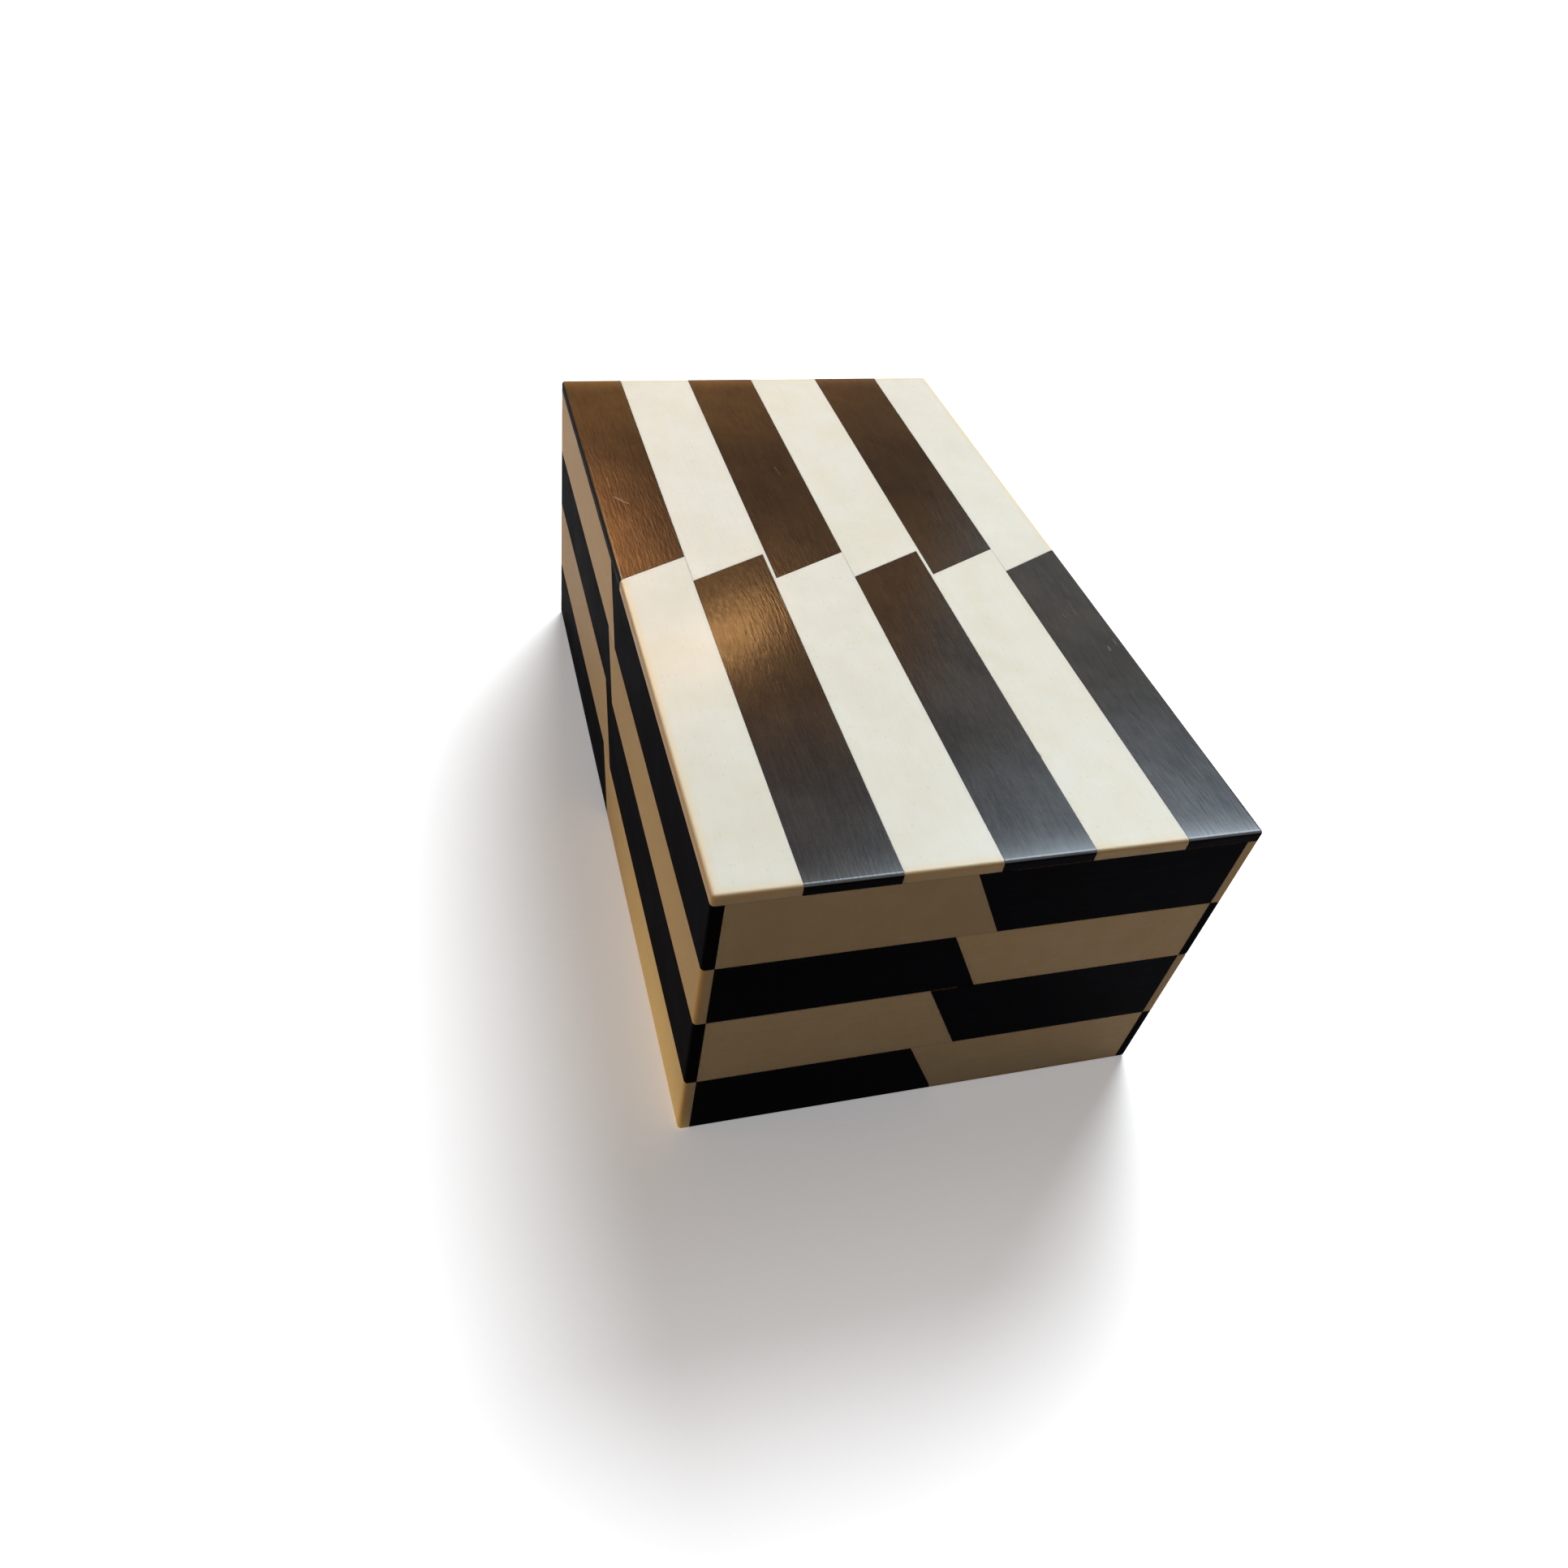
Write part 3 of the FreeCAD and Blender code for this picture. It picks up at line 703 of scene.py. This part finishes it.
def felt_sheet(name, node, face, material):
    """A cut felt sheet that lies flat on what carries it, with its free face up (1) or down (-1).

    On a grid over the sheet, the free face stands off by the thickness, less a quarter of it
    that falls away over the last millimetre towards the cut rim, and waves by a twentieth of a
    millimetre as a product of sines. The other face is flat, and a wall joins the two.
    """
    low, high = (np.array(corner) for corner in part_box(node))
    half = (high - low) / 2
    middle = (low + high) / 2
    thick = high[2] - low[2]
    x, y = np.meshgrid(spread(half[0]), spread(half[1]), indexing="ij")
    to_rim = np.minimum(half[0] - np.abs(x), half[1] - np.abs(y))
    rolled = ROLLED_SHARE * thick * np.clip(1 - to_rim / ROLLED_REACH, 0, 1) ** 2
    waves = np.sin(x * WAVES_X + PHASE_X) * np.sin(y * WAVES_Y + PHASE_Y)
    swell = waves * np.cos((x + y) * WAVES_ASLANT)
    free = thick - rolled - WAVE_HEIGHT * (0.5 + 0.5 * swell)
    free_z = low[2] + free if face > 0 else high[2] - free
    held_z = np.full_like(free, low[2] if face > 0 else high[2])
    layers = [np.stack([x + middle[0], y + middle[1], z], axis=-1) for z in (free_z, held_z)]
    points = np.concatenate(layers).reshape(-1, 3)
    index = np.arange(x.size).reshape(x.shape)
    corners = [index[:-1, :-1], index[1:, :-1], index[1:, 1:], index[:-1, 1:]]
    cells = np.stack(corners, axis=-1).reshape(-1, 4)
    ring = np.concatenate([index[:-1, 0], index[-1, :-1], index[:0:-1, -1], index[0, :0:-1]])
    after = np.roll(ring, -1)
    wall = np.stack([ring, ring + x.size, after + x.size, after], axis=-1)
    faces = np.concatenate([cells, cells[:, ::-1] + x.size, wall])
    return new_piece(name, points, faces if face > 0 else faces[:, ::-1], material)


def lay_felt():
    """The linings of the floor and of the lid, and the felt under the floor."""
    red = felt("lining_felt", *RED_FELT)
    black = felt("underside_felt", *BLACK_FELT)
    sheets = [
        ("base_lining_felt", "base_lining", 1, red, "base", "lining_felt", "base_floor_board"),
        ("lid_lining_felt", "lid_lining", -1, red, "lid", "lining_felt", "lid_top_board"),
        ("underside_felt_sheet", "underside_felt", -1, black, "base", "underside_felt", "base_floor_board"),
    ]
    for name, node, face, material, body, slot, board in sheets:
        made = felt_sheet(name, node, face, material)
        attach(made, body)
        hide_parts(node)


# Studio

CAMERA_PLACE = Vector((0.25334, -0.11480, 0.27281))
CAMERA_AIM = Vector((0.03546, -0.03816, 0.047))
CAMERA_ROLL = 8.377
CAMERA_LENS = 26.498
CAMERA_SHIFT = 0.0356
CAMERA_NEAR = 0.01


def set_camera():
    """The photograph's place, aim, tilt and framing."""
    made = bpy.data.objects.new("camera", bpy.data.cameras.new("camera"))
    bpy.context.scene.collection.objects.link(made)
    made.data.lens = CAMERA_LENS
    made.data.shift_x = CAMERA_SHIFT
    made.data.clip_start = CAMERA_NEAR
    made.location = CAMERA_PLACE
    made.rotation_mode = "QUATERNION"
    level = (CAMERA_AIM - CAMERA_PLACE).to_track_quat("-Z", "Y")
    made.rotation_quaternion = level @ Quaternion((0, 0, 1), math.radians(CAMERA_ROLL))
    bpy.context.scene.camera = made


def shown_ray(tree):
    """One for rays that show the background: from the camera, or off metal, gloss or glass."""
    path = add(tree, "ShaderNodeLightPath").outputs
    either = maths(tree, "MAXIMUM", path["Is Camera Ray"], path["Is Glossy Ray"])
    return maths(tree, "MAXIMUM", either, path["Is Transmission Ray"])


def flat_piece(name, corners, material):
    """A plain rectangle of the studio, through four corners."""
    made = new_piece(name, np.array(corners), np.array([[0, 1, 2, 3]]), material)
    return made


# The floor: its colour as it shows and as it throws light back, the glow that whitens it away
# from the box, and the warm patch in front of the near half, where it lies in Y and in X.
FLOOR_HALF = 6.0
FLOOR_SHOWN = (0.95, 0.96, 0.98)
FLOOR_BOUNCE = (0.24, 0.145, 0.075)
FLOOR_GLOW = (0.58, 0.60, 0.63)
GLOW_REACH = 0.12
WARM_PATCH = (0.59, 0.385, 0.13)
PATCH_Y = (-0.175, -0.15, -0.066, -0.06)
PATCH_X = (-0.02, 0.10, 0.108, 0.128)


def set_floor():
    """A white floor that keeps the box's shadow.

    It is whitest away from the box: a faint glow grows with the distance to its sides, so that the
    weaker glow close to the box paints a soft shadow round it. The light that it throws back is weak
    and warm, and a patch in front of the near half adds to it.
    """
    paper, tree, shader, place = new_material("floor_paper")
    shown = shown_ray(tree)
    outside = vector_maths(tree, "SUBTRACT", vector_maths(tree, "ABSOLUTE", place), (END, SIDE, 0.0))
    away = vector_number(tree, "LENGTH", vector_maths(tree, "MAXIMUM", outside, (0.0, 0.0, 0.0)))
    # Half the glow at the box, full glow further out: painted shadow round the box.
    glow_share = times(tree, shown, eased(tree, away, 0.0, GLOW_REACH, low=0.5))
    glow = mixed(tree, glow_share, BLACK, FLOOR_GLOW)
    x, y, _ = parts(tree, place)
    patch = times(tree, within(tree, y, *PATCH_Y), within(tree, x, *PATCH_X))
    patch = times(tree, patch, maths(tree, "SUBTRACT", 1.0, shown))
    feed(tree, shader, Base_Color=mixed(tree, shown, FLOOR_BOUNCE, FLOOR_SHOWN), Roughness=1.0,
         Specular_IOR_Level=0.0, Emission_Color=mixed(tree, patch, glow, WARM_PATCH), Emission_Strength=1.0)
    signs = [(-1, -1, 0), (1, -1, 0), (1, 1, 0), (-1, 1, 0)]
    flat_piece("floor", FLOOR_HALF * np.array(signs), paper)


def hang_card(name, corners, look):
    """A studio card that shows only in gloss. Its colour and opacity come from its own coordinates."""
    cloth, tree, shader, place = new_material(name + "_cloth")
    colour, solid = look(tree, place)
    feed(tree, shader, Base_Color=BLACK, Specular_IOR_Level=0.0, Emission_Color=colour,
         Emission_Strength=1.0, Alpha=solid)
    card = flat_piece(name, corners, cloth)
    card.visible_camera = False
    card.visible_diffuse = False
    card.visible_transmission = False
    card.visible_shadow = False


# The screen stands across the length, behind the far end: its place, then its lights and darks.
# Two numbers say where along Y or up Z one look turns into the next, or how far a lamp reaches
# and how far its core does.
SCREEN_X = -0.95
SCREEN_Y = (-0.9, 1.1)
SCREEN_TOP = 1.3
SCREEN_BROWN = ((1.8, 0.82, 0.22), (1.15, 0.58, 0.22))
BROWN_TURN_Y = (0.05, 0.5)
SCREEN_GREY = (1.15, 1.12, 1.03)
GREY_TURN_Y = (0.52, 0.66)
SCREEN_FOOT = (0.32, 0.28, 0.24)
FOOT_TURN_Z = (0.46, 0.34)
BAND_HEIGHT = 0.635
BAND_REACH = (0.12, 0.03)
BAND_SHARE = 0.52
FADE_Y = (SCREEN_Y[1], 0.85)
FADE_Z = (SCREEN_TOP, 0.95)
GLOW_PLACE = (SCREEN_X, -0.02, 0.79)
GLOW_SIZE = (0.25, 0.03)
GLOW_COLOUR = (12.4, 5.0, 1.6)
LAMP_START = (SCREEN_X, 0.07, 0.985)
LAMP_RUN = (0.0, 0.29, -0.158)
LAMP_WIDTH = 0.064
LAMP_COLOUR = (18.0, 9.3, 3.2)
SIDE_LAMP_PLACE = (SCREEN_X, -0.40, 0.80)
SIDE_LAMP_SIZE = (0.24, 0.05)
SIDE_LAMP_COLOUR = (15.0, 11.0, 6.5)


def screen_look(tree, place):
    """Brown, darker in a band, grey to the right and at the foot, with a warm glow and two lamps."""
    _, y, z = parts(tree, place)
    colour = mixed(tree, eased(tree, y, *BROWN_TURN_Y), *SCREEN_BROWN)
    off_band = maths(tree, "ABSOLUTE", maths(tree, "SUBTRACT", z, BAND_HEIGHT))
    colour = mixed(tree, eased(tree, off_band, *BAND_REACH, high=BAND_SHARE), colour, BLACK)
    colour = mixed(tree, eased(tree, y, *GREY_TURN_Y), colour, SCREEN_GREY)
    colour = mixed(tree, eased(tree, z, *FOOT_TURN_Z), colour, SCREEN_FOOT)
    colour = mixed(tree, nearness(tree, place, GLOW_PLACE, *GLOW_SIZE), colour, GLOW_COLOUR)
    lamp = use_group(tree, SCRATCH, Vector=place, Start=LAMP_START, Run=LAMP_RUN, Width=LAMP_WIDTH)["Mark"]
    colour = mixed(tree, lamp, colour, LAMP_COLOUR)
    side_lamp = nearness(tree, place, SIDE_LAMP_PLACE, *SIDE_LAMP_SIZE)
    colour = mixed(tree, side_lamp, colour, SIDE_LAMP_COLOUR)
    return colour, times(tree, eased(tree, z, *FADE_Z), eased(tree, y, *FADE_Y))


# The window is a round soft box, high behind the right side, that faces the box.
WINDOW_CENTRE = Vector((-0.22, 0.78, 1.241))
WINDOW_REACH = 0.81
WINDOW_CORE = 0.25
WINDOW_COLOUR = (5.9, 7.1, 8.2)


def window_look(tree, place):
    """One cool colour, fading out from its core."""
    return WINDOW_COLOUR, nearness(tree, place, WINDOW_CENTRE, WINDOW_REACH, WINDOW_CORE)


def set_cards():
    """A brown screen low behind the far end, and a cool soft box high behind the right side."""
    left, right = SCREEN_Y
    spots = [(left, 0.0), (right, 0.0), (right, SCREEN_TOP), (left, SCREEN_TOP)]
    hang_card("screen", [(SCREEN_X, y, z) for y, z in spots], screen_look)
    across = Vector((-WINDOW_CENTRE.y, WINDOW_CENTRE.x, 0)).normalized()
    upward = WINDOW_CENTRE.cross(across).normalized()
    signs = ((-1, -1), (1, -1), (1, 1), (-1, 1))
    corners = [tuple(WINDOW_CENTRE + WINDOW_REACH * (i * across + j * upward)) for i, j in signs]
    hang_card("cool_window", corners, window_look)


SKY_LIGHT = (0.125, 0.090, 0.057)


def set_world():
    """White where it shows, and a weak warm light all round."""
    world = bpy.data.worlds.new("studio")
    bpy.context.scene.world = world
    world.use_nodes = True
    tree = world.node_tree
    tree.nodes.clear()
    colour = mixed(tree, shown_ray(tree), SKY_LIGHT, WHITE)
    background = add(tree, "ShaderNodeBackground", {"Color": colour, "Strength": 1.0})
    output = add(tree, "ShaderNodeOutputWorld")
    tree.links.new(background.outputs[0], output.inputs["Surface"])


def hang_light(name, kind, towards, strength, colour):
    """A light that doesn't show in gloss, turned to face the box from one direction."""
    made = bpy.data.objects.new(name, bpy.data.lights.new(name, kind))
    bpy.context.scene.collection.objects.link(made)
    made.data.energy = strength
    made.data.color = colour
    made.rotation_mode = "QUATERNION"
    made.rotation_quaternion = Vector(towards).to_track_quat("Z", "Y")
    made.visible_glossy = False
    return made


def hang_sun(name, towards, strength, spread_deg, colour):
    """A wide soft light from far away."""
    made = hang_light(name, "SUN", towards, strength, colour)
    made.data.angle = math.radians(spread_deg)


def hang_panel(name, place, side, power, colour):
    """A square soft light at a place."""
    made = hang_light(name, "AREA", place, power, colour)
    made.data.shape = "SQUARE"
    made.data.size = side
    made.location = place


def set_lights():
    """A soft key from behind, which leaves the near end in shade, a warm side light and a small fill."""
    hang_sun("key", towards=(-0.9, 0.5, 0.8), strength=3.85, spread_deg=36, colour=(0.94, 0.98, 1.0))
    hang_sun("warm_side", towards=(-0.25, -1.0, 0.08), strength=0.55, spread_deg=20,
             colour=(1.0, 0.48, 0.09))
    hang_panel("far_fill", place=(-0.42, 0.28, 0.5), side=0.3, power=0.85, colour=(1.0, 0.95, 0.85))


dress_strips()
dress_case()
lay_filler()
lay_felt()
set_camera()
set_floor()
set_cards()
set_world()
set_lights()
bpy.context.scene.view_settings.view_transform = "Standard"
